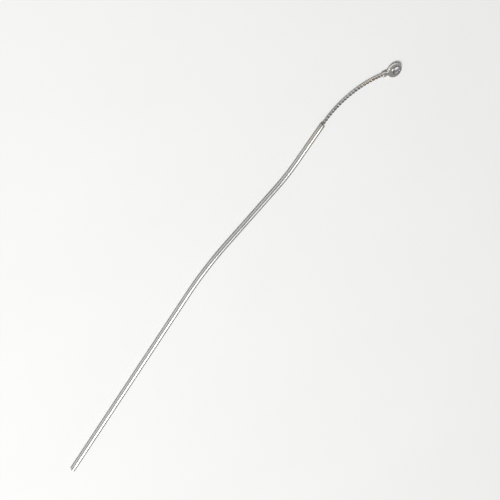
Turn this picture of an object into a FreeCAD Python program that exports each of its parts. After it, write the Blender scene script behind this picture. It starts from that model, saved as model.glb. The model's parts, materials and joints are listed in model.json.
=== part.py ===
import FreeCAD, Part
import math
import os

from FreeCAD import Vector

# Inoculating loop, in millimetres.
# The whole tool is set in one flat plane and lies on the bench: +Z points up out of that plane.
# The origin is on the handle's axis, at the rear end of the sleeve, and +X runs along the straight grip.

# --- handle sleeve: a tube set in a shallow S ---
SLEEVE_WALL = 0.35
SLEEVE_EDGE_RADIUS = 0.15
GRIP_RUN = 107.5
REAR_BEND_RADIUS = 155.0
REAR_BEND_DEG = 11.7
MIDDLE_RUN = 38.0
FRONT_BEND_RADIUS = 100.0
FRONT_BEND_DEG = 9.8
MOUTH_RUN = 23.5

# --- wire of the needle: two strands side by side, which fill the same round envelope as the twist ---
STRAND_DIA = 0.6
STRAND_GAP = 0.03
WIRE_STUB = 0.6
WIRE_BEND_RADIUS = 48.0
WIRE_BEND_DEG = 46.3

# --- loop head ---
BARREL_LENGTH = 3.0
BARREL_END_WALL = 0.405
BARREL_CROWN = 0.3
BARREL_WEB = 0.4
BARREL_WIRE_DEPTH = 1.4
RING_OD = 8.0
RING_THICKNESS = 1.2
RING_EDGE_RADIUS = 0.2
ROOT_WIDTH = 2.0
ROOT_GAP = 0.05
ROOT_LENGTH = 0.35
TIP_MARGIN = 0.65
EYE_DIA = 4.0
EYELET_WALL = 0.3
EYELET_LIP_WIDTH = 0.3
EYELET_LIP_HEIGHT = 0.25
EYELET_LIP_ROUNDING = 0.2

# --- pieces inside the sleeve ---
BUSH_LENGTH = 5.0
BUSH_WALL = 0.235
BUSH_RECESS = 0.2
BUSH_COUNTERSINK = 0.12
NEEDLE_REACH = 8.0
FERRULE_CUP_DEPTH = 2.2
FERRULE_WEB = 0.6
FERRULE_GROOVE_WIDTH = 0.8
FERRULE_GROOVE_DEPTH = 0.35
FERRULE_TAIL = 0.9
PLUG_SPIGOT_LENGTH = 4.0
PLUG_HEAD_LENGTH = 1.5
PLUG_HEAD_RADIUS = 0.6

# --- clearances ---
PRESS_CLEARANCE = 0.01
SEAT_CLEARANCE = 0.03
WIRE_CLEARANCE = 0.05
BORE_CLEARANCE = 0.05
CORE_CLEARANCE = 0.1
RING_DRAG_CLEARANCE = 0.03
GROOVE_CLEARANCE = 0.05
GROOVE_SIDE_CLEARANCE = 0.1
END_CLEARANCE = 0.3

# --- sizes that follow from the ones above ---
STRAND_OFFSET = (STRAND_DIA + STRAND_GAP) / 2
TWIST_DIA = 2 * STRAND_OFFSET + STRAND_DIA
SEATED_WIRE_BORE = TWIST_DIA + 2 * SEAT_CLEARANCE
BUSH_BORE = TWIST_DIA + 2 * WIRE_CLEARANCE
SLEEVE_BORE = BUSH_BORE + 2 * BUSH_WALL
SLEEVE_OD = SLEEVE_BORE + 2 * SLEEVE_WALL
CORE_DIA = SLEEVE_BORE - 2 * CORE_CLEARANCE
FERRULE_OD = SLEEVE_BORE - 2 * BORE_CLEARANCE
FERRULE_GROOVE_DIA = FERRULE_OD - 2 * FERRULE_GROOVE_DEPTH
FERRULE_LENGTH = FERRULE_CUP_DEPTH + FERRULE_WEB + FERRULE_GROOVE_WIDTH + FERRULE_TAIL
FERRULE_FRONT = BUSH_RECESS + BUSH_LENGTH + NEEDLE_REACH + END_CLEARANCE
FERRULE_BACK = FERRULE_FRONT + FERRULE_LENGTH
BARREL_END_DIA = SEATED_WIRE_BORE + 2 * BARREL_END_WALL
BARREL_MIDDLE_DIA = BARREL_END_DIA + 2 * BARREL_CROWN
SHANK_DIA = RING_THICKNESS
RING_CENTRE = BARREL_LENGTH + ROOT_GAP + ROOT_LENGTH + RING_OD / 2
EYELET_OD = EYE_DIA + 2 * EYELET_WALL
EYELET_LIP_OD = EYELET_OD + 2 * EYELET_LIP_WIDTH
EYE_OFFSET = (RING_OD - EYELET_LIP_OD) / 2 - TIP_MARGIN

# --- how close two lengths must be to count as the same ---
SAME_LENGTH = 0.001


class Route:
    """A flat line of straight runs and tangent bends, walked by the distance along it."""

    def __init__(self, x, y, heading, legs):
        self.start = (x, y, heading)
        self.legs = legs

    def length(self):
        return sum(leg_length(leg) for leg in self.legs)

    def at(self, distance):
        """Point and heading at a distance along the route; past the end the last leg carries on."""
        x, y, heading = self.start
        for index, leg in enumerate(self.legs):
            whole = leg_length(leg)
            if distance <= whole or index == len(self.legs) - 1:
                return step(x, y, heading, leg, distance)
            x, y, heading = step(x, y, heading, leg, whole)
            distance -= whole


def run(length):
    return {"length": length, "radius": None}


def bend(radius, degrees):
    """A bend to the left for positive degrees, and to the right for negative ones."""
    return {"length": radius * abs(math.radians(degrees)), "radius": math.copysign(radius, degrees)}


def leg_length(leg):
    return leg["length"]


def step(x, y, heading, leg, distance):
    radius = leg["radius"]
    if radius is None:
        return x + distance * math.cos(heading), y + distance * math.sin(heading), heading
    turned = heading + distance / radius
    x += radius * (math.sin(turned) - math.sin(heading))
    y -= radius * (math.cos(turned) - math.cos(heading))
    return x, y, turned


def direction(heading):
    return Vector(math.cos(heading), math.sin(heading), 0)


def ring_face(place, outer_dia, inner_dia):
    """Round section across the route at a place on it, hollow if it has an inner diameter."""
    centre, along = Vector(place[0], place[1], 0), direction(place[2])
    face = Part.Face(Part.Wire(Part.makeCircle(outer_dia / 2, centre, along)))
    if inner_dia:
        face = face.cut(Part.Face(Part.Wire(Part.makeCircle(inner_dia / 2, centre, along))))
    return face


def round_along(route, first, last, outer_dia, inner_dia=0.0):
    """Rod or tube that follows the route from one distance along it to another."""
    pieces, passed = [], 0.0
    for leg in route.legs:
        begin, end = max(first, passed), min(last, passed + leg_length(leg))
        passed += leg_length(leg)
        if end <= begin:
            continue
        place = route.at(begin)
        section = ring_face(place, outer_dia, inner_dia)
        if leg["radius"] is None:
            pieces.append(section.extrude(direction(place[2]) * (end - begin)))
            continue
        sideways = Vector(-math.sin(place[2]), math.cos(place[2]), 0)
        centre = Vector(place[0], place[1], 0) + sideways * leg["radius"]
        axis = Vector(0, 0, math.copysign(1, leg["radius"]))
        pieces.append(section.revolve(centre, axis, math.degrees((end - begin) / abs(leg["radius"]))))
    solid = pieces[0].multiFuse(pieces[1:]).removeSplitter() if len(pieces) > 1 else pieces[0]
    return solid.Solids[0]


def turned(profile, place):
    """Turned piece: (distance along, radius) corners spun about the route's line at a place."""
    points = [Vector(along, radius, 0) for along, radius in profile]
    outline = Part.makePolygon(points + points[:1])
    solid = Part.Face(outline).revolve(Vector(0, 0, 0), Vector(1, 0, 0), 360)
    return put_at(solid, place)


def put_at(shape, place):
    """Carry a shape drawn at the origin, along +X, to a place on a route."""
    shape.rotate(Vector(0, 0, 0), Vector(0, 0, 1), math.degrees(place[2]))
    shape.translate(Vector(place[0], place[1], 0))
    return shape


HANDLE_ROUTE = Route(0, 0, 0, [
    run(GRIP_RUN),
    bend(REAR_BEND_RADIUS, -REAR_BEND_DEG),
    run(MIDDLE_RUN),
    bend(FRONT_BEND_RADIUS, FRONT_BEND_DEG),
    run(MOUTH_RUN),
])
MOUTH_DISTANCE = HANDLE_ROUTE.length()
MOUTH = HANDLE_ROUTE.at(MOUTH_DISTANCE)
WIRE_INSIDE = FERRULE_FRONT + FERRULE_CUP_DEPTH
WIRE_START = HANDLE_ROUTE.at(MOUTH_DISTANCE - WIRE_INSIDE)
WIRE_ROUTE = Route(*WIRE_START, [
    run(WIRE_INSIDE + WIRE_STUB),
    bend(WIRE_BEND_RADIUS, -WIRE_BEND_DEG),
    run(BARREL_WIRE_DEPTH),
])
BARREL_PLACE = WIRE_ROUTE.at(WIRE_ROUTE.length() - BARREL_WIRE_DEPTH)


def behind_mouth(distance):
    return HANDLE_ROUTE.at(MOUTH_DISTANCE - distance)


def handle_sleeve():
    tube = round_along(HANDLE_ROUTE, 0, MOUTH_DISTANCE, SLEEVE_OD, SLEEVE_BORE)
    mouth = Vector(MOUTH[0], MOUTH[1], 0)
    rims = [edge for edge in tube.Edges if is_rim(edge, mouth, SLEEVE_OD / 2)]
    return tube.makeFillet(SLEEVE_EDGE_RADIUS, rims)


def is_rim(edge, centre, radius):
    """True for a round edge of this radius about this centre."""
    curve = edge.Curve
    return (isinstance(curve, Part.Circle) and abs(curve.Radius - radius) < SAME_LENGTH
            and curve.Center.distanceToPoint(centre) < SAME_LENGTH)


def mouth_bush():
    """Low-friction bush pressed into the mouth, which steadies the wire."""
    outer = SLEEVE_BORE / 2 - PRESS_CLEARANCE
    inner = BUSH_BORE / 2
    return turned([
        (0, inner), (0, outer), (BUSH_LENGTH, outer),
        (BUSH_LENGTH, inner + BUSH_COUNTERSINK), (BUSH_LENGTH - BUSH_COUNTERSINK, inner),
    ], behind_mouth(BUSH_RECESS + BUSH_LENGTH))


def core_rod():
    """Rod that holds the set of the handle, from the tail plug to behind the stop ferrule."""
    first = PLUG_SPIGOT_LENGTH + END_CLEARANCE
    last = MOUTH_DISTANCE - FERRULE_BACK - END_CLEARANCE
    return round_along(HANDLE_ROUTE, first, last, CORE_DIA)


def tail_plug():
    spigot = SLEEVE_BORE / 2 - PRESS_CLEARANCE
    head = SLEEVE_OD / 2
    plug = turned([
        (-PLUG_HEAD_LENGTH, 0), (-PLUG_HEAD_LENGTH, head), (0, head),
        (0, spigot), (PLUG_SPIGOT_LENGTH, spigot), (PLUG_SPIGOT_LENGTH, 0),
    ], HANDLE_ROUTE.at(0))
    rims = [edge for edge in plug.Edges if is_rim(edge, Vector(-PLUG_HEAD_LENGTH, 0, 0), head)]
    return plug.makeFillet(PLUG_HEAD_RADIUS, rims)


def stop_ferrule():
    """Ferrule on the wire's inner end: it stops against the bush and carries the drag ring."""
    outer, cup, groove = FERRULE_OD / 2, SEATED_WIRE_BORE / 2, FERRULE_GROOVE_DIA / 2
    groove_back = FERRULE_TAIL
    groove_front = FERRULE_TAIL + FERRULE_GROOVE_WIDTH
    cup_floor = FERRULE_LENGTH - FERRULE_CUP_DEPTH
    return turned([
        (0, 0), (0, outer), (groove_back, outer), (groove_back, groove), (groove_front, groove),
        (groove_front, outer), (FERRULE_LENGTH, outer), (FERRULE_LENGTH, cup), (cup_floor, cup),
        (cup_floor, 0),
    ], behind_mouth(FERRULE_BACK))


def drag_ring():
    """Ring in the ferrule's groove that rubs lightly in the sleeve and holds the needle where it is set."""
    width = FERRULE_GROOVE_WIDTH - 2 * GROOVE_SIDE_CLEARANCE
    inner = FERRULE_GROOVE_DIA / 2 + GROOVE_CLEARANCE
    outer = SLEEVE_BORE / 2 - RING_DRAG_CLEARANCE
    back = FERRULE_TAIL + GROOVE_SIDE_CLEARANCE
    return turned([(back, inner), (back, outer), (back + width, outer), (back + width, inner)],
                  behind_mouth(FERRULE_BACK))


def wire_strand(side):
    """One strand of the pair, above the wire's route for side 1 and below it for side -1."""
    strand = round_along(WIRE_ROUTE, 0, WIRE_ROUTE.length(), STRAND_DIA)
    strand.translate(Vector(0, 0, side * STRAND_OFFSET))
    return strand


def crimp_barrel():
    """Crowned barrel: the wire is seated in one end and the ring's shank in the other."""
    end, middle = BARREL_END_DIA / 2, BARREL_MIDDLE_DIA / 2
    crown = Part.Arc(Vector(0, end, 0), Vector(BARREL_LENGTH / 2, middle, 0), Vector(BARREL_LENGTH, end, 0))
    wire_bore = SEATED_WIRE_BORE / 2
    shank_bore = SHANK_DIA / 2 + PRESS_CLEARANCE
    web_end = BARREL_WIRE_DEPTH + BARREL_WEB
    inside = Part.makePolygon([
        Vector(BARREL_LENGTH, end, 0), Vector(BARREL_LENGTH, shank_bore, 0), Vector(web_end, shank_bore, 0),
        Vector(web_end, 0, 0), Vector(BARREL_WIRE_DEPTH, 0, 0), Vector(BARREL_WIRE_DEPTH, wire_bore, 0),
        Vector(0, wire_bore, 0), Vector(0, end, 0),
    ])
    face = Part.Face(Part.Wire([crown.toShape()] + inside.Edges))
    return put_at(face.revolve(Vector(0, 0, 0), Vector(1, 0, 0), 360), BARREL_PLACE)


def loop_ring():
    """Flat ring with a tapered root and a round shank; its eye lies towards the tip."""
    radius = RING_OD / 2
    root = BARREL_LENGTH + ROOT_GAP
    to_corner = math.hypot(RING_CENTRE - root, ROOT_WIDTH / 2)
    angle = math.atan2(ROOT_WIDTH / 2, RING_CENTRE - root) + math.acos(radius / to_corner)
    touch_x = RING_CENTRE - radius * math.cos(angle)
    touch_y = radius * math.sin(angle)
    outline = Part.Wire([
        Part.makeLine(Vector(root, -ROOT_WIDTH / 2, 0), Vector(touch_x, -touch_y, 0)),
        Part.Arc(Vector(touch_x, -touch_y, 0), Vector(RING_CENTRE + radius, 0, 0),
                 Vector(touch_x, touch_y, 0)).toShape(),
        Part.makeLine(Vector(touch_x, touch_y, 0), Vector(root, ROOT_WIDTH / 2, 0)),
        Part.makeLine(Vector(root, ROOT_WIDTH / 2, 0), Vector(root, -ROOT_WIDTH / 2, 0)),
    ])
    plate = Part.Face(outline).extrude(Vector(0, 0, RING_THICKNESS))
    plate.translate(Vector(0, 0, -RING_THICKNESS / 2))
    arcs = [edge for edge in plate.Edges if is_flat_edge(edge)]
    plate = plate.makeFillet(RING_EDGE_RADIUS, arcs)
    shank_start = BARREL_WIRE_DEPTH + BARREL_WEB + PRESS_CLEARANCE
    shank = Part.makeCylinder(SHANK_DIA / 2, root + ROOT_LENGTH - shank_start,
                              Vector(shank_start, 0, 0), Vector(1, 0, 0))
    eye = Part.makeCylinder(EYELET_OD / 2 + PRESS_CLEARANCE, RING_OD,
                            Vector(RING_CENTRE + EYE_OFFSET, 0, -RING_OD / 2))
    return put_at(plate.fuse(shank).cut(eye).Solids[0], BARREL_PLACE)


def is_flat_edge(edge):
    """True for an edge of the ring's outline, on either face."""
    return edge.BoundBox.ZLength < SAME_LENGTH


def loop_eyelet():
    """Eyelet pressed into the ring, with a rolled lip on each face."""
    inner, outer, lip_outer = EYE_DIA / 2, EYELET_OD / 2, EYELET_LIP_OD / 2
    seat = RING_THICKNESS / 2 + PRESS_CLEARANCE
    top = seat + EYELET_LIP_HEIGHT
    tube = Part.makeCylinder(outer, 2 * top, Vector(0, 0, -top))
    for lip_bottom in (seat, -top):
        tube = tube.fuse(Part.makeCylinder(lip_outer, EYELET_LIP_HEIGHT, Vector(0, 0, lip_bottom)))
    tube = tube.cut(Part.makeCylinder(inner, 4 * top, Vector(0, 0, -2 * top))).removeSplitter()
    ends = [Vector(0, 0, top), Vector(0, 0, -top)]
    rims = [edge for edge in tube.Edges if any(is_rim(edge, end, lip_outer) for end in ends)]
    tube = tube.makeFillet(EYELET_LIP_ROUNDING, rims)
    tube.translate(Vector(RING_CENTRE + EYE_OFFSET, 0, 0))
    return put_at(tube, BARREL_PLACE)


NODES = {
    "handle_sleeve": handle_sleeve(),
    "mouth_bush": mouth_bush(),
    "core_rod": core_rod(),
    "tail_plug": tail_plug(),
    "stop_ferrule": stop_ferrule(),
    "drag_ring": drag_ring(),
    "wire_strand_a": wire_strand(1),
    "wire_strand_b": wire_strand(-1),
    "crimp_barrel": crimp_barrel(),
    "loop_ring": loop_ring(),
    "loop_eyelet": loop_eyelet(),
}

os.makedirs("parts", exist_ok=True)
for name, shape in NODES.items():
    shape.exportStep(os.path.join("parts", name + ".step"))
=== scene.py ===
import json
import math

import bmesh
import bpy
from mathutils import Matrix, Vector


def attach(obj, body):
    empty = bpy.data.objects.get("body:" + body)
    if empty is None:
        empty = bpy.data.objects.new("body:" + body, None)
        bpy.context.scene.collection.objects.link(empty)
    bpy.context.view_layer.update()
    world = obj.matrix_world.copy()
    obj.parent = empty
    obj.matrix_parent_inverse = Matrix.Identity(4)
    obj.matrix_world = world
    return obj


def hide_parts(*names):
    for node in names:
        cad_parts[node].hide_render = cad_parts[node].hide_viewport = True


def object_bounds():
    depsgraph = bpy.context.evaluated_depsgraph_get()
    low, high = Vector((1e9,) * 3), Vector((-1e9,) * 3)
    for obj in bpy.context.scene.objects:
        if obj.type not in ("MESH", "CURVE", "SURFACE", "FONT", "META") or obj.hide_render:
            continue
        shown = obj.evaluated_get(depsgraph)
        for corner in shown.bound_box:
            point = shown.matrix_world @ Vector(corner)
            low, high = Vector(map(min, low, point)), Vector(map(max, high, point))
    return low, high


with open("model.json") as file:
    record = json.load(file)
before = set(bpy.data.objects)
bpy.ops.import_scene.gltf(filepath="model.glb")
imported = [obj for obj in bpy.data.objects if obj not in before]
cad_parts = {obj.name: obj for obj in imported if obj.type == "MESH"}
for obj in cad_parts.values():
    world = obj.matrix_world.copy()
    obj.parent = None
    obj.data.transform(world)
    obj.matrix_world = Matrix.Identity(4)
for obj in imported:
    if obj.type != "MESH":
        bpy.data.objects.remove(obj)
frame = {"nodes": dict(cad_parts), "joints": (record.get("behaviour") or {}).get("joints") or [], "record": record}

cad_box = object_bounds()

# Inoculating loop, in metres, in the frame of its handle: +X along the straight grip, +Z up off the bench.
MM = 0.001
record = frame["record"]
mounts = {mount["name"]: mount for mount in record["mounts"]}
joints = {joint["name"]: joint for joint in frame["joints"]}

# --- sizes read from the frame ---
GRIP_RADIUS = mounts["handle_grip"]["dims"]["r_mm"] * MM
GRIP_RUN = mounts["handle_grip"]["dims"]["length_mm"] * MM
EYE_RADIUS = mounts["loop_eye"]["dims"]["r_mm"] * MM
EYE_CENTRE = Vector(mounts["loop_eye"]["pos_m"])
MOUTH = Vector(joints["needle_reach"]["pos_m"])
MOUTH_HEADING = math.atan2(joints["needle_reach"]["axis"][1], joints["needle_reach"]["axis"][0])
BENCH = cad_box[0][2]

# --- set of the sleeve ---
SLEEVE_BORE_RADIUS = 0.9 * MM
REAR_BEND_RADIUS = 155 * MM
REAR_BEND = math.radians(11.7)
MIDDLE_RUN = 38 * MM
FRONT_BEND_RADIUS = 100 * MM
FRONT_BEND = math.radians(9.8)
MOUTH_RUN = 23.5 * MM
MOUTH_LIP = 0.15 * MM
SEAM_LIP = 0.1 * MM

# --- tail plug ---
PLUG_HEAD = 1.5 * MM
PLUG_ROUND = 0.6 * MM
PLUG_SPIGOT = 4 * MM
CENTRE_MARK_RADIUS = 0.3 * MM
CENTRE_MARK_DEPTH = 0.08 * MM
AXIS_PINHOLE = 0.02 * MM
PRESS_GAP = 0.01 * MM

# --- twisted wire ---
STRAND_RADIUS = 0.3 * MM
TWIST_RADIUS = 0.305 * MM
LAY = 3.5 * MM
WIRE_INSIDE = 15.7 * MM
WIRE_STUB = 0.6 * MM
WIRE_BEND_RADIUS = 48 * MM
WIRE_BEND = math.radians(46.3)

# --- loop head, along the barrel's own axis from its rear end ---
BARREL_LENGTH = 3 * MM
BARREL_END = 1.05 * MM
BARREL_CROWN = 0.3 * MM
BARREL_EASE = 0.08 * MM
BARREL_WEB_START = 1.4 * MM
BARREL_WEB_END = 1.8 * MM
WIRE_SEAT = 0.645 * MM
SHANK_RADIUS = 0.6 * MM
DIMPLE_DEPTH = 0.1 * MM
DIMPLE_SPREAD = 0.5 * MM
DIMPLES = 4
RING_RADIUS = 4 * MM
RING_THICKNESS = 1.2 * MM
RING_ROUND = 0.2 * MM
HOLE_ROUND = 0.05 * MM
ROOT_START = 3.05 * MM
ROOT_HALF_WIDTH = 1 * MM
ROOT_LENGTH = 0.35 * MM
EYE_OFFSET = 0.75 * MM
EYELET_WALL = 0.3 * MM
LIP_WIDTH = 0.3 * MM
LIP_HEIGHT = 0.25 * MM
LIP_ROUND = 0.2 * MM
EYE_ROUND = 0.1 * MM

# --- fineness of the meshes ---
SLEEVE_STEP = 1.5 * MM
CROWN_STEPS = 24
AROUND_TUBE = 48
AROUND_STRAND = 16
AROUND_HEAD = 96
AROUND_RING = 240
STEPS_PER_TURN = 28
ROUND_STEPS = 6
NEAR = 0.001 * MM
SHARP_EDGE = math.radians(50)

UP = Vector((0, 0, 1))


class Route:
    """A flat line of straight runs and tangent bends, walked by the distance along it."""

    def __init__(self, point, heading, legs):
        self.point, self.heading, self.legs = point, heading, legs

    def length(self):
        return sum(length for length, radius in self.legs)

    def at(self, distance):
        """Point and heading at a distance; before the start and past the end the line carries on."""
        point, heading, left = self.point.copy(), self.heading, distance
        for index, (length, radius) in enumerate(self.legs):
            last = index == len(self.legs) - 1
            walked = left if left < length or last else length
            if radius is None:
                point = point + walked * ahead(heading)
            else:
                turned_to = heading + walked / radius
                point = point + radius * (aside(heading) - aside(turned_to))
                heading = turned_to
            left -= walked
            if left <= 0:
                break
        return point, heading


def ahead(heading):
    return Vector((math.cos(heading), math.sin(heading), 0))


def aside(heading):
    return Vector((-math.sin(heading), math.cos(heading), 0))


def run(length):
    return length, None


def bend(radius, angle):
    """A bend to the left for a positive angle, and to the right for a negative one."""
    return radius * abs(angle), math.copysign(radius, angle)


SLEEVE_ROUTE = Route(Vector((0, 0, 0)), 0.0, [
    run(GRIP_RUN),
    bend(REAR_BEND_RADIUS, -REAR_BEND),
    run(MIDDLE_RUN),
    bend(FRONT_BEND_RADIUS, FRONT_BEND),
    run(MOUTH_RUN),
])
WIRE_ROUTE = Route(MOUTH - WIRE_INSIDE * ahead(MOUTH_HEADING), MOUTH_HEADING, [
    run(WIRE_INSIDE + WIRE_STUB),
    bend(WIRE_BEND_RADIUS, -WIRE_BEND),
    run(BARREL_WEB_START),
])
HEAD_ROUTE = Route(*WIRE_ROUTE.at(WIRE_ROUTE.length() - BARREL_WEB_START), [run(BARREL_LENGTH)])
RING_CENTRE = ROOT_START + ROOT_LENGTH + RING_RADIUS


# --- meshes: a skin is its points, its faces and its lay ---
# The lay gives each point's distance along the piece and radius in millimetres, and its angle round it.

def piece(name, skins, body, finish, replaced):
    """One smooth-shaded mesh of closed skins, which rides on a body and stands for a CAD node."""
    points, faces, lay = [], [], []
    for skin_points, skin_faces, skin_lay in skins:
        faces += [tuple(index + len(points) for index in face) for face in skin_faces]
        points += [tuple(point) for point in skin_points]
        lay += skin_lay
    mesh = bpy.data.meshes.new(name)
    mesh.from_pydata(points, [], faces)
    lay_out(mesh, lay)
    tidy = bmesh.new()
    tidy.from_mesh(mesh)
    bmesh.ops.recalc_face_normals(tidy, faces=tidy.faces)
    tidy.to_mesh(mesh)
    tidy.free()
    mesh.shade_smooth()
    mesh.set_sharp_from_angle(angle=SHARP_EDGE)
    mesh.materials.append(finish)
    made = bpy.data.objects.new(name, mesh)
    bpy.context.scene.collection.objects.link(made)
    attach(made, body)
    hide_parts(replaced)


def lay_out(mesh, lay):
    """Map of the surface along and round the piece, in millimetres, unbroken where a turn closes."""
    draw = mesh.uv_layers.new(name="draw")
    for face in mesh.polygons:
        places = [lay[vertex] for vertex in face.vertices]
        latest = max(angle for distance, angle, radius in places)
        for loop, (distance, angle, radius) in zip(face.loop_indices, places):
            unbroken = angle + 2 * math.pi if latest - angle > math.pi else angle
            draw.data[loop].uv = distance, unbroken * radius


def grid_faces(rows, columns, closed):
    """Quads between rows of points. The columns always meet; the rows meet too, or the ends are capped."""
    faces = []
    for row in range(rows if closed else rows - 1):
        below = (row + 1) % rows
        for column in range(columns):
            beside = (column + 1) % columns
            faces.append((row * columns + column, row * columns + beside,
                          below * columns + beside, below * columns + column))
    if not closed:
        faces.append(tuple(reversed(range(columns))))
        faces.append(tuple(range((rows - 1) * columns, rows * columns)))
    return faces


def along(route):
    """Place, sideways and up across a route, for a distance along it."""
    def place(distance):
        centre, heading = route.at(distance)
        return centre, aside(heading), UP
    return place


def standing(foot):
    """The same for an upright axis, where the distance is the height above its foot."""
    def place(height):
        return foot + height * UP, Vector((1, 0, 0)), Vector((0, 1, 0))
    return place


def turned(place, profile, around, closed=True, relief=None):
    """Skin of a profile of (distance, radius) spun about a line, less its relief."""
    points, lay = [], []
    for distance, radius in profile:
        centre, side, up = place(distance)
        for index in range(around):
            angle = 2 * math.pi * index / around
            out = radius - (relief(distance, radius, angle) if relief else 0)
            points.append(centre + out * (math.cos(angle) * side + math.sin(angle) * up))
            lay.append((distance / MM, angle, radius / MM))
    return points, grid_faces(len(profile), around, closed), lay


def corner(distance, radius, rounding, start, stop):
    """Round corner of a profile about a centre, between two angles in degrees."""
    turns = [math.radians(start + (stop - start) * index / ROUND_STEPS)
             for index in range(ROUND_STEPS + 1)]
    return [(distance + rounding * math.cos(turn), radius + rounding * math.sin(turn)) for turn in turns]


def level(start, stop, radius):
    """Points of a profile at one radius between two places, without the two ends."""
    count = math.ceil(abs(stop - start) / SLEEVE_STEP)
    return [(start + (stop - start) * index / count, radius) for index in range(1, count)]


def sleeve_skin():
    end = SLEEVE_ROUTE.length()
    profile = corner(SEAM_LIP, GRIP_RADIUS - SEAM_LIP, SEAM_LIP, 180, 90)
    profile += level(SEAM_LIP, end - MOUTH_LIP, GRIP_RADIUS)
    profile += corner(end - MOUTH_LIP, GRIP_RADIUS - MOUTH_LIP, MOUTH_LIP, 90, 0)
    profile += corner(end - SEAM_LIP, SLEEVE_BORE_RADIUS + SEAM_LIP, SEAM_LIP, 0, -90)
    profile += level(end - SEAM_LIP, 0, SLEEVE_BORE_RADIUS)
    profile.append((0, SLEEVE_BORE_RADIUS))
    return turned(along(SLEEVE_ROUTE), profile, AROUND_TUBE)


def plug_skin():
    """Plug with a domed head, the small mark that the lathe's centre left in it and a spigot."""
    spigot, mark_floor = SLEEVE_BORE_RADIUS - PRESS_GAP, CENTRE_MARK_DEPTH - PLUG_HEAD
    profile = [(mark_floor, AXIS_PINHOLE), (mark_floor, CENTRE_MARK_RADIUS),
               (-PLUG_HEAD, CENTRE_MARK_RADIUS + CENTRE_MARK_DEPTH)]
    profile += corner(PLUG_ROUND - PLUG_HEAD, GRIP_RADIUS - PLUG_ROUND, PLUG_ROUND, 180, 90)
    profile += corner(-SEAM_LIP, GRIP_RADIUS - SEAM_LIP, SEAM_LIP, 90, 0)
    profile += [(0, spigot), (PLUG_SPIGOT - SEAM_LIP, spigot), (PLUG_SPIGOT, spigot - SEAM_LIP),
                (PLUG_SPIGOT, AXIS_PINHOLE)]
    return turned(along(SLEEVE_ROUTE), profile, AROUND_TUBE, closed=False)


def strand_centre(distance, phase):
    centre, heading = WIRE_ROUTE.at(distance)
    angle = phase + 2 * math.pi * distance / LAY
    outward = math.cos(angle) * aside(heading) + math.sin(angle) * UP
    return centre + TWIST_RADIUS * outward, outward


def strand_skin(phase):
    """One strand of the pair: a round wire wound about the wire's route."""
    length = WIRE_ROUTE.length()
    steps = math.ceil(length / LAY * STEPS_PER_TURN)
    points, lay = [], []
    for step in range(steps + 1):
        distance = length * step / steps
        centre, outward = strand_centre(distance, phase)
        before = strand_centre(distance - NEAR, phase)[0]
        after = strand_centre(distance + NEAR, phase)[0]
        onward = (after - before).normalized()
        outward = (outward - outward.dot(onward) * onward).normalized()
        across = onward.cross(outward)
        for index in range(AROUND_STRAND):
            angle = 2 * math.pi * index / AROUND_STRAND
            points.append(centre + STRAND_RADIUS * (math.cos(angle) * outward + math.sin(angle) * across))
            lay.append((distance / MM, angle, STRAND_RADIUS / MM))
    return points, grid_faces(steps + 1, AROUND_STRAND, False), lay


def crimp_dimples(distance, radius, angle):
    """Dents that the crimping jaws leave round the barrel's waist."""
    if radius < BARREL_END:
        return 0
    lengthways = math.exp(-((distance - BARREL_LENGTH / 2) / DIMPLE_SPREAD) ** 2)
    return DIMPLE_DEPTH * lengthways * max(0.0, -math.cos(DIMPLES * angle)) ** 2


def barrel_skin():
    half = BARREL_LENGTH / 2
    profile = [(BARREL_EASE, WIRE_SEAT), (0, WIRE_SEAT + BARREL_EASE), (0, BARREL_END - BARREL_EASE)]
    for index in range(CROWN_STEPS + 1):
        distance = BARREL_EASE + (BARREL_LENGTH - 2 * BARREL_EASE) * index / CROWN_STEPS
        profile.append((distance, BARREL_END + BARREL_CROWN * (1 - ((distance - half) / half) ** 2)))
    seat = SHANK_RADIUS + PRESS_GAP
    profile += [(BARREL_LENGTH, BARREL_END - BARREL_EASE), (BARREL_LENGTH, seat + BARREL_EASE),
                (BARREL_LENGTH - BARREL_EASE, seat), (BARREL_WEB_END, seat), (BARREL_WEB_END, AXIS_PINHOLE),
                (BARREL_WEB_START, AXIS_PINHOLE), (BARREL_WEB_START, WIRE_SEAT)]
    return turned(along(HEAD_ROUTE), profile, AROUND_HEAD, relief=crimp_dimples)


def outline_reach(angle):
    """Distance from the eye's centre to the ring's outline: a circle that tapers into its root."""
    x, y = math.cos(angle), math.sin(angle)
    rim = math.sqrt(RING_RADIUS ** 2 - (EYE_OFFSET * y) ** 2) - EYE_OFFSET * x
    root = Vector((ROOT_START - RING_CENTRE, ROOT_HALF_WIDTH))
    touch = math.atan2(root.y, -root.x) + math.acos(RING_RADIUS / root.length)
    tangent = RING_RADIUS * Vector((-math.cos(touch), math.sin(touch)))
    if EYE_OFFSET + rim * x >= tangent.x:
        return rim
    to_root = root.x - EYE_OFFSET
    if abs(to_root / x * y) <= root.y:
        return to_root / x
    slope = tangent - root
    return (root.y * slope.x - to_root * slope.y) / (abs(y) * slope.x - x * slope.y)


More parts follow.
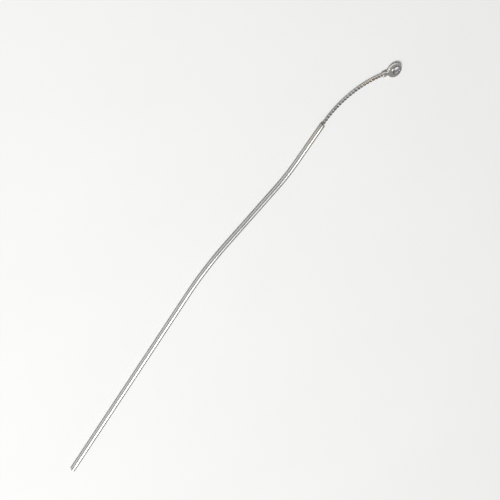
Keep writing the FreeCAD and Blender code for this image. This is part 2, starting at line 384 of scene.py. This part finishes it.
def ring_skin():
    """The flat ring and its root: a section with rounded edges, carried round the eye."""
    half, hole = RING_THICKNESS / 2, EYE_RADIUS + EYELET_WALL + PRESS_GAP
    centre, heading = HEAD_ROUTE.at(RING_CENTRE + EYE_OFFSET)
    points, lay = [], []
    for index in range(AROUND_RING):
        angle = 2 * math.pi * index / AROUND_RING
        outward = math.cos(angle) * ahead(heading) + math.sin(angle) * aside(heading)
        edge = outline_reach(angle) - RING_ROUND
        section = corner(hole + HOLE_ROUND, half - HOLE_ROUND, HOLE_ROUND, 90, 180)
        section += corner(hole + HOLE_ROUND, HOLE_ROUND - half, HOLE_ROUND, 180, 270)
        section += corner(edge, RING_ROUND - half, RING_ROUND, 270, 360)
        section += corner(edge, half - RING_ROUND, RING_ROUND, 0, 90)
        for distance, lift in section:
            points.append(centre + distance * outward + lift * UP)
            lay.append((distance / MM, angle, distance / MM))
    return points, grid_faces(AROUND_RING, len(points) // AROUND_RING, True), lay


def shank_skin():
    """Round shank that carries the ring in the barrel."""
    start, end = BARREL_WEB_END + PRESS_GAP, ROOT_START + ROOT_LENGTH
    profile = [(start, AXIS_PINHOLE), (start, SHANK_RADIUS - BARREL_EASE),
               (start + BARREL_EASE, SHANK_RADIUS), (end, SHANK_RADIUS), (end, AXIS_PINHOLE)]
    return turned(along(HEAD_ROUTE), profile, AROUND_TUBE, closed=False)


def eyelet_skin():
    """Eyelet with a rolled lip on each face of the ring."""
    seat, wall = RING_THICKNESS / 2 + PRESS_GAP, EYE_RADIUS + EYELET_WALL
    lip, top = wall + LIP_WIDTH, seat + LIP_HEIGHT
    upper = [(seat, wall), (seat, lip)]
    upper += corner(top - LIP_ROUND, lip - LIP_ROUND, LIP_ROUND, 90, 0)
    upper += corner(top - EYE_ROUND, EYE_RADIUS + EYE_ROUND, EYE_ROUND, 0, -90)
    lower = [(-height, radius) for height, radius in reversed(upper)]
    return turned(standing(EYE_CENTRE), upper + lower, AROUND_HEAD)


# --- colours ---

def shade(red, green, blue):
    return red, green, blue, 1.0


STEEL = shade(0.60, 0.60, 0.595)
CLOUDED_STEEL = shade(0.47, 0.47, 0.465)
HANDLED_STEEL = shade(0.74, 0.74, 0.73)
STRAW_ON_STEEL = shade(0.58, 0.44, 0.23)
BLUE_ON_STEEL = shade(0.22, 0.23, 0.33)
TURNED_STEEL = shade(0.56, 0.56, 0.555)
FILMED_STEEL = shade(0.40, 0.40, 0.395)
BARE_WIRE = shade(0.40, 0.385, 0.36)
WIRE_OXIDE = shade(0.17, 0.165, 0.16)
STRAW_ON_WIRE = shade(0.42, 0.30, 0.15)
BLUE_ON_WIRE = shade(0.11, 0.13, 0.22)
NICKEL = shade(0.78, 0.765, 0.73)
DULL_NICKEL = shade(0.60, 0.585, 0.55)
RUBBED_BRASS = shade(0.72, 0.55, 0.28)
ROLLED_STEEL = shade(0.52, 0.525, 0.53)
FILMED_ROLLED_STEEL = shade(0.36, 0.36, 0.365)
PIT = shade(0.10, 0.09, 0.085)
WAX = shade(0.84, 0.84, 0.82)
PALE_WAX = shade(0.92, 0.92, 0.90)
RUBBED_WAX = shade(0.5, 0.5, 0.48)
ALUMINIUM = shade(0.76, 0.77, 0.79)
BLOOMED_ALUMINIUM = shade(0.60, 0.61, 0.62)
BRASS = shade(0.80, 0.60, 0.28)
TARNISHED_BRASS = shade(0.42, 0.28, 0.12)
RUBBER = shade(0.018, 0.018, 0.018)
BLOOMED_RUBBER = shade(0.055, 0.054, 0.052)
BENCH_WHITE = shade(0.84, 0.84, 0.835)
BENCH_CLOUD = shade(0.87, 0.87, 0.865)
WHITE = shade(1.0, 1.0, 1.0)

# --- finishes ---

GRAIN_ROUGHNESS = 0.55


class Number:
    """A number that varies over a surface. Arithmetic on it adds the maths to its finish."""

    def __init__(self, finish, socket):
        self.finish, self.socket = finish, socket

    def maths(self, operation, first, second):
        node = self.finish.node("ShaderNodeMath", {"operation": operation}, {0: first, 1: second})
        return Number(self.finish, node.outputs[0])

    def __add__(self, other):
        return self.maths("ADD", self, other)

    def __radd__(self, other):
        return self.maths("ADD", other, self)

    def __sub__(self, other):
        return self.maths("SUBTRACT", self, other)

    def __rsub__(self, other):
        return self.maths("SUBTRACT", other, self)

    def __mul__(self, other):
        return self.maths("MULTIPLY", self, other)

    def __rmul__(self, other):
        return self.maths("MULTIPLY", other, self)


class Finish:
    """One material: its shader, and the nodes that vary it over the surface."""

    def __init__(self, name, **constants):
        self.material = bpy.data.materials.new(name)
        self.material.use_nodes = True
        self.tree = self.material.node_tree
        self.shader = self.tree.nodes["Principled BSDF"]
        self.feed(self.shader, {key.replace("_", " "): value for key, value in constants.items()})

    def node(self, kind, settings, values):
        """A node of any type: its settings first, then the values or links of its sockets."""
        made = self.tree.nodes.new(kind)
        for key, value in settings.items():
            setattr(made, key, value)
        self.feed(made, values)
        return made

    def feed(self, node, values):
        for key, value in values.items():
            value = value.socket if isinstance(value, Number) else value
            if isinstance(value, bpy.types.NodeSocket):
                self.tree.links.new(value, node.inputs[key])
            else:
                node.inputs[key].default_value = value

    def place(self):
        """The surface point in its own object's space, in metres."""
        return self.node("ShaderNodeTexCoord", {}, {}).outputs["Object"]

    def laid(self):
        """Along (x) and round (y) the piece, in millimetres."""
        return self.node("ShaderNodeUVMap", {"uv_map": "draw"}, {}).outputs["UV"]

    def stretched(self, vector, x, y, z=1.0):
        return self.node("ShaderNodeMapping", {}, {"Vector": vector, "Scale": (x, y, z)}).outputs["Vector"]

    def grain(self, vector, clouds, detail):
        """Cloudy noise from 0 to 1, with about that number of clouds per unit."""
        values = {"Vector": vector, "Scale": clouds, "Detail": detail, "Roughness": GRAIN_ROUGHNESS}
        return Number(self, self.node("ShaderNodeTexNoise", {}, values).outputs["Fac"])

    def specks(self, vector, cells):
        """Distance to the nearest of scattered points, in cells."""
        node = self.node("ShaderNodeTexVoronoi", {}, {"Vector": vector, "Scale": cells})
        return Number(self, node.outputs["Distance"])

    def sharpened(self, number, low, high):
        """0 below low and 1 above high, with a soft step between them."""
        node = self.node("ShaderNodeMapRange", {"interpolation_type": "SMOOTHSTEP"},
                         {"Value": number, "From Min": low, "From Max": high})
        return Number(self, node.outputs["Result"])

    def distance_from(self, point):
        node = self.node("ShaderNodeVectorMath", {"operation": "DISTANCE"}, {0: self.place(), 1: point})
        return Number(self, node.outputs["Value"])

    def rounded_edges(self, axis):
        """1 where the surface is halfway from facing along an axis to facing across it, 0 elsewhere."""
        facing = self.node("ShaderNodeTexCoord", {}, {}).outputs["Normal"]
        node = self.node("ShaderNodeVectorMath", {"operation": "DOT_PRODUCT"}, {0: facing, 1: axis})
        along_axis = Number(self, node.outputs["Value"])
        squared = along_axis * along_axis
        return self.sharpened(4 * squared * (1 - squared), low=0.6, high=0.95)

    def mixed(self, share, first, second):
        """The first colour, with a share of the second."""
        node = self.node("ShaderNodeMix", {"data_type": "RGBA"}, {})
        self.feed(node, {0: share, 6: first, 7: second})
        return node.outputs[2]

    def painted(self, colour, roughness, height, depth):
        """Join colour, roughness and relief to the shader; depth is the relief's height in metres."""
        bump = self.node("ShaderNodeBump", {}, {"Height": height, "Distance": depth, "Strength": 1.0})
        self.feed(self.shader, {"Base Color": colour, "Roughness": roughness})
        self.feed(self.shader, {"Normal": bump.outputs["Normal"]})
        return self.material


def satin_sleeve():
    """Stainless tube: drawn lines along it, handling marks, and straw and blue heat colours at its mouth."""
    paint = Finish("satin_sleeve", Metallic=1.0)
    lay = paint.laid()
    lines = paint.grain(paint.stretched(lay, x=0.08, y=9.0), clouds=1.0, detail=5.0)
    cloud = paint.sharpened(paint.grain(lay, clouds=0.22, detail=6.0), low=0.35, high=0.72)
    marks = paint.grain(paint.stretched(lay, x=0.7, y=2.2), clouds=1.8, detail=9.0)
    scuffs = paint.sharpened(marks, low=0.6, high=0.7)
    from_mouth = paint.distance_from(MOUTH)
    straw = (1 - paint.sharpened(from_mouth, low=4 * MM, high=20 * MM)) * (0.5 + 0.5 * cloud)
    blue = 1 - paint.sharpened(from_mouth, low=0.5 * MM, high=5 * MM)
    steel = paint.mixed(cloud * 0.5, STEEL, CLOUDED_STEEL)
    handled = paint.mixed(scuffs * 0.45, steel, HANDLED_STEEL)
    warm = paint.mixed(straw * 0.35, handled, STRAW_ON_STEEL)
    colour = paint.mixed(blue * 0.35, warm, BLUE_ON_STEEL)
    return paint.painted(colour, roughness=0.22 + 0.14 * lines + 0.14 * cloud,
                         height=lines + 0.4 * scuffs, depth=0.012 * MM)


def turned_plug():
    """Turned stainless plug: rings left by the lathe tool on its dome, and a dull film."""
    paint = Finish("turned_plug", Metallic=1.0)
    lay, where = paint.laid(), paint.place()
    tool_rings = paint.grain(paint.stretched(lay, x=14.0, y=0.1), clouds=1.0, detail=2.0)
    film = paint.sharpened(paint.grain(where, clouds=900.0, detail=5.0), low=0.4, high=0.7)
    colour = paint.mixed(film * 0.6, TURNED_STEEL, FILMED_STEEL)
    return paint.painted(colour, roughness=0.2 + 0.16 * tool_rings + 0.16 * film,
                         height=tool_rings, depth=0.01 * MM)


def drawn_nickel_chrome():
    """Resistance wire: die lines along each strand, a grey oxide in patches, straw and blue near the head."""
    paint = Finish("drawn_nickel_chrome", Metallic=1.0)
    lay = paint.laid()
    die_lines = paint.grain(paint.stretched(lay, x=0.12, y=14.0), clouds=1.0, detail=3.0)
    oxide = paint.sharpened(paint.grain(lay, clouds=0.9, detail=6.0), low=0.42, high=0.66)
    from_head = paint.distance_from(HEAD_ROUTE.point)
    straw = 1 - paint.sharpened(from_head, low=5 * MM, high=17 * MM)
    blue = (1 - paint.sharpened(from_head, low=1.5 * MM, high=7 * MM)) * (0.5 + 0.5 * oxide)
    bare = paint.mixed(oxide * 0.75, BARE_WIRE, WIRE_OXIDE)
    warm = paint.mixed(straw * 0.5, bare, STRAW_ON_WIRE)
    colour = paint.mixed(blue * 0.55, warm, BLUE_ON_WIRE)
    return paint.painted(colour, roughness=0.24 + 0.2 * die_lines + 0.18 * oxide,
                         height=die_lines, depth=0.008 * MM)


def nickel_plate(name, axis, scratch_along, scratch_round):
    """Nickel plate over brass: fine scratches, dull patches, and brass showing on rubbed edges."""
    paint = Finish(name, Metallic=1.0)
    lay, where = paint.laid(), paint.place()
    scratches = paint.grain(paint.stretched(lay, scratch_along, scratch_round), clouds=1.0, detail=5.0)
    dull = paint.sharpened(paint.grain(where, clouds=420.0, detail=5.0), low=0.45, high=0.7)
    rubbed = paint.rounded_edges(axis) * (0.4 + 0.6 * dull)
    plate = paint.mixed(dull * 0.6, NICKEL, DULL_NICKEL)
    colour = paint.mixed(rubbed * 0.4, plate, RUBBED_BRASS)
    return paint.painted(colour, roughness=0.16 + 0.14 * scratches + 0.16 * dull,
                         height=scratches, depth=0.006 * MM)


def rolled_steel_eyelet():
    """Polished eyelet: rings left by the rolling tool and a few dark pits."""
    paint = Finish("rolled_steel_eyelet", Metallic=1.0)
    lay, where = paint.laid(), paint.place()
    rings = paint.grain(paint.stretched(lay, x=16.0, y=0.25), clouds=1.0, detail=3.0)
    pits = 1 - paint.sharpened(paint.specks(where, cells=2600.0), low=0.1, high=0.22)
    film = paint.sharpened(paint.grain(where, clouds=700.0, detail=4.0), low=0.4, high=0.7)
    bright = paint.mixed(film * 0.5, ROLLED_STEEL, FILMED_ROLLED_STEEL)
    colour = paint.mixed(pits * 0.4, bright, PIT)
    return paint.painted(colour, roughness=0.15 + 0.2 * rings + 0.2 * pits,
                         height=rings - 0.6 * pits, depth=0.006 * MM)


def waxy_bush():
    """Waxy plastic: cloudy, with grey rubs along it."""
    paint = Finish("waxy_bush", Specular_IOR_Level=0.35)
    where = paint.place()
    cloud = paint.grain(where, clouds=1100.0, detail=3.0)
    streaks = paint.grain(paint.stretched(where, x=300.0, y=3000.0, z=3000.0), clouds=1.0, detail=3.0)
    rubs = paint.sharpened(streaks, low=0.55, high=0.7)
    wax = paint.mixed(cloud, WAX, PALE_WAX)
    colour = paint.mixed(rubs * 0.5, wax, RUBBED_WAX)
    return paint.painted(colour, roughness=0.3 + 0.2 * cloud, height=rubs, depth=0.01 * MM)


def drawn_aluminium():
    """Aluminium rod: drawn lines along it, and patches of bloom."""
    paint = Finish("drawn_aluminium", Metallic=1.0)
    where = paint.place()
    lines = paint.grain(paint.stretched(where, x=60.0, y=6000.0, z=6000.0), clouds=1.0, detail=4.0)
    bloom = paint.sharpened(paint.grain(where, clouds=160.0, detail=5.0), low=0.45, high=0.7)
    colour = paint.mixed(bloom * 0.6, ALUMINIUM, BLOOMED_ALUMINIUM)
    return paint.painted(colour, roughness=0.28 + 0.16 * lines + 0.15 * bloom,
                         height=lines, depth=0.008 * MM)


def turned_brass():
    """Turned brass: tool marks round it, and tarnish in patches."""
    paint = Finish("turned_brass", Metallic=1.0)
    where = paint.place()
    tool_marks = paint.grain(paint.stretched(where, x=9000.0, y=500.0, z=500.0), clouds=1.0, detail=2.0)
    tarnish = paint.sharpened(paint.grain(where, clouds=800.0, detail=5.0), low=0.45, high=0.7)
    colour = paint.mixed(tarnish * 0.7, BRASS, TARNISHED_BRASS)
    return paint.painted(colour, roughness=0.2 + 0.14 * tool_marks + 0.2 * tarnish,
                         height=tool_marks, depth=0.008 * MM)


def black_rubber():
    """Matt rubber with a pale bloom."""
    paint = Finish("black_rubber", Specular_IOR_Level=0.3)
    where = paint.place()
    bloom = paint.grain(where, clouds=1500.0, detail=5.0)
    colour = paint.mixed(bloom, RUBBER, BLOOMED_RUBBER)
    return paint.painted(colour, roughness=0.55 + 0.25 * bloom, height=bloom, depth=0.01 * MM)


def white_bench():
    """Matt laminate: almost white, with a trace of cloud and tooth."""
    paint = Finish("white_bench", Specular_IOR_Level=0.2)
    where = paint.place()
    cloud = paint.grain(where, clouds=14.0, detail=3.0)
    tooth = paint.grain(where, clouds=1800.0, detail=2.0)
    colour = paint.mixed(cloud, BENCH_WHITE, BENCH_CLOUD)
    return paint.painted(colour, roughness=0.6 + 0.15 * cloud, height=tooth, depth=0.01 * MM)


# --- the pieces ---

wire_finish = drawn_nickel_chrome()
piece("sleeve_tube", [sleeve_skin()], "handle", satin_sleeve(), "handle_sleeve")
piece("end_plug", [plug_skin()], "handle", turned_plug(), "tail_plug")
piece("twisted_strand_a", [strand_skin(0.0)], "needle", wire_finish, "wire_strand_a")
piece("twisted_strand_b", [strand_skin(math.pi)], "needle", wire_finish, "wire_strand_b")
barrel_finish = nickel_plate("plated_barrel", ahead(HEAD_ROUTE.heading), scratch_along=0.8, scratch_round=9.0)
piece("crimped_barrel", [barrel_skin()], "needle", barrel_finish, "crimp_barrel")
ring_finish = nickel_plate("plated_ring", UP, scratch_along=11.0, scratch_round=0.25)
piece("loop_plate", [ring_skin(), shank_skin()], "needle", ring_finish, "loop_ring")
piece("rolled_eyelet", [eyelet_skin()], "needle", rolled_steel_eyelet(), "loop_eyelet")

HIDDEN_FINISHES = {
    "mouth_bush": waxy_bush,
    "core_rod": drawn_aluminium,
    "stop_ferrule": turned_brass,
    "drag_ring": black_rubber,
}
for node_name, finish in HIDDEN_FINISHES.items():
    material = finish()
    for material_slot in frame["nodes"][node_name].material_slots:
        material_slot.material = material


# --- bench, light and camera ---

BENCH_HALF = 4.0
TOOL_MIDDLE = (cad_box[0] + cad_box[1]) / 2
KEY_TOWARDS = Vector((-0.5, 0.3, 1.0))
KEY_DISTANCE = 1.8
KEY_SIZE = 0.9
KEY_POWER = 30.0
ROOM_STRENGTH = 0.32


def bench():
    mesh = bpy.data.meshes.new("bench")
    corners = [(TOOL_MIDDLE.x + BENCH_HALF * x, TOOL_MIDDLE.y + BENCH_HALF * y, BENCH)
               for x, y in ((-1, -1), (1, -1), (1, 1), (-1, 1))]
    mesh.from_pydata(corners, [], [(0, 1, 2, 3)])
    mesh.materials.append(white_bench())
    top = bpy.data.objects.new("bench", mesh)
    bpy.context.scene.collection.objects.link(top)


def softbox():
    """A square soft light that faces the tool."""
    light = bpy.data.lights.new("key", "AREA")
    light.size, light.energy = KEY_SIZE, KEY_POWER
    lamp = bpy.data.objects.new("key", light)
    direction = KEY_TOWARDS.normalized()
    lamp.location = TOOL_MIDDLE + direction * KEY_DISTANCE
    lamp.rotation_mode = "QUATERNION"
    lamp.rotation_quaternion = (-direction).to_track_quat("-Z", "Y")
    bpy.context.scene.collection.objects.link(lamp)


def room_light():
    world = bpy.data.worlds.new("room")
    world.use_nodes = True
    background = world.node_tree.nodes["Background"]
    background.inputs["Color"].default_value = WHITE
    background.inputs["Strength"].default_value = ROOM_STRENGTH
    bpy.context.scene.world = world


# The camera looks down on the bench at a slant, from the side of the tool that bulges, and is rolled so
# that the tool climbs across the frame from its lower left corner to its upper right.
LOOK_HEADING = math.radians(-19.8)
LOOK_DOWN = math.asin(0.666)
ROLL = math.radians(43.1)
AIM = Vector((140.8 * MM, -19.6 * MM, 0))
FRAME_WIDTH = 250 * MM
LENS = 1500.0
SENSOR = 36.0


def camera():
    level_right, level_forward = ahead(LOOK_HEADING), aside(LOOK_HEADING)
    back = math.cos(LOOK_DOWN) * level_forward + math.sin(LOOK_DOWN) * UP
    slant = math.cos(LOOK_DOWN) * UP - math.sin(LOOK_DOWN) * level_forward
    right = math.cos(ROLL) * level_right + math.sin(ROLL) * slant
    top = math.sin(ROLL) * level_right - math.cos(ROLL) * slant
    lens = bpy.data.cameras.new("camera")
    lens.lens, lens.sensor_width = LENS, SENSOR
    eye = bpy.data.objects.new("camera", lens)
    reach = FRAME_WIDTH * LENS / SENSOR
    spot = AIM + reach * back
    lens.clip_end = 2 * reach
    eye.matrix_world = Matrix((
        (right.x, top.x, back.x, spot.x),
        (right.y, top.y, back.y, spot.y),
        (right.z, top.z, back.z, spot.z),
        (0, 0, 0, 1),
    ))
    bpy.context.scene.collection.objects.link(eye)
    bpy.context.scene.camera = eye


bench()
softbox()
room_light()
bpy.context.scene.view_settings.view_transform = "Standard"
camera()
